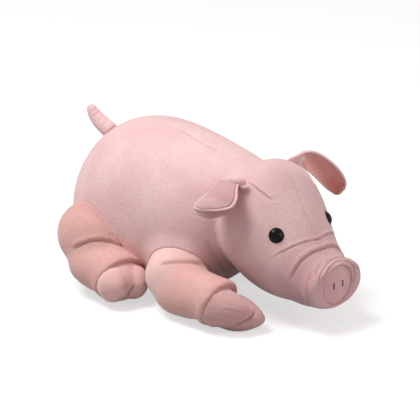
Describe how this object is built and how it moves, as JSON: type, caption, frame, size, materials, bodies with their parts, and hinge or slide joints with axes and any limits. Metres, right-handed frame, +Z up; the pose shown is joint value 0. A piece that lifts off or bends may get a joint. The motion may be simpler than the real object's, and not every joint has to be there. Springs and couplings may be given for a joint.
{
  "type": "plush pig",
  "caption": "Stuffed soft toy pig lying on its belly, with floppy folded ears, a curled tail, splayed legs with hooves and domed plastic eyes.",
  "frame": {"origin": "centre of the bounding box on the surface that the pig lies on", "axes": "+Z up, the pig faces -Y with its tail at +Y, and +X is its own left side"},
  "size_m": [0.2348, 0.3423, 0.1739],
  "materials": {
    "pale_plush": "pale pink short pile plush",
    "leg_plush": "dusty pink short pile plush",
    "hoof_plush": "mauve pink short pile plush",
    "snout_plush": "mauve pink short pile plush",
    "ear_lining_plush": "dusky pink short pile plush",
    "fibre_filling": "matt loose fibre",
    "black_gloss_plastic": "polished black",
    "white_washer_plastic": "natural white moulding",
    "dark_thread": "matt twisted thread"
  },
  "bodies": {
    "trunk_body": {"trunk": "pale_plush", "trunk_filling": "fibre_filling"},
    "head_body": {"head": "pale_plush", "head_filling": "fibre_filling", "snout_disc": "snout_plush", "right_nostril_stitch": "dark_thread", "left_nostril_stitch": "dark_thread", "right_eye": "black_gloss_plastic", "left_eye": "black_gloss_plastic", "right_eye_washer": "white_washer_plastic", "left_eye_washer": "white_washer_plastic"},
    "right_ear_body": {"right_ear": "pale_plush", "right_ear_lining": "ear_lining_plush"},
    "left_ear_body": {"left_ear": "pale_plush", "left_ear_lining": "ear_lining_plush"},
    "tail_body": {"tail": "pale_plush"},
    "right_front_leg_body": {"right_front_leg": "leg_plush", "right_front_hoof": "hoof_plush"},
    "left_front_leg_body": {"left_front_leg": "leg_plush", "left_front_hoof": "hoof_plush"},
    "right_rear_leg_body": {"right_rear_leg": "leg_plush", "right_rear_hoof": "hoof_plush"},
    "left_rear_leg_body": {"left_rear_leg": "leg_plush", "left_rear_hoof": "hoof_plush"}
  },
  "joints": [
    {"name": "neck_nod", "type": "hinge", "parent": "trunk_body", "child": "head_body", "pos_m": [0, -0.075, 0.094], "axis": [0.9945, -0.1045, 0], "range_deg": [-8, 6], "stiffness_Nm_per_rad": 1.2},
    {"name": "right_ear_flop", "type": "hinge", "parent": "head_body", "child": "right_ear_body", "pos_m": [-0.03689, -0.06478, 0.14063], "axis": [0.1045, 0.9945, 0], "range_deg": [-3, 35], "stiffness_Nm_per_rad": 0.02},
    {"name": "left_ear_flop", "type": "hinge", "parent": "head_body", "child": "left_ear_body", "pos_m": [0.03821, -0.07268, 0.14063], "axis": [-0.1045, -0.9945, 0], "range_deg": [-3, 35], "stiffness_Nm_per_rad": 0.02},
    {"name": "tail_wag", "type": "hinge", "parent": "trunk_body", "child": "tail_body", "pos_m": [0, 0.137, 0.14881], "axis": [1, 0, 0], "range_deg": [-15, 20], "stiffness_Nm_per_rad": 0.01},
    {"name": "right_front_leg_splay", "type": "hinge", "parent": "trunk_body", "child": "right_front_leg_body", "pos_m": [-0.07, -0.01, 0.039], "axis": [0, 0, -1], "range_deg": [0, 24], "stiffness_Nm_per_rad": 0.25},
    {"name": "left_front_leg_splay", "type": "hinge", "parent": "trunk_body", "child": "left_front_leg_body", "pos_m": [0.07, -0.01, 0.039], "axis": [0, 0, 1], "range_deg": [0, 24], "stiffness_Nm_per_rad": 0.25},
    {"name": "right_rear_leg_splay", "type": "hinge", "parent": "trunk_body", "child": "right_rear_leg_body", "pos_m": [-0.068, 0.097, 0.047], "axis": [0, 0, -1], "range_deg": [0, 20], "stiffness_Nm_per_rad": 0.25},
    {"name": "left_rear_leg_splay", "type": "hinge", "parent": "trunk_body", "child": "left_rear_leg_body", "pos_m": [0.068, 0.097, 0.047], "axis": [0, 0, 1], "range_deg": [0, 20], "stiffness_Nm_per_rad": 0.25}
  ]
}
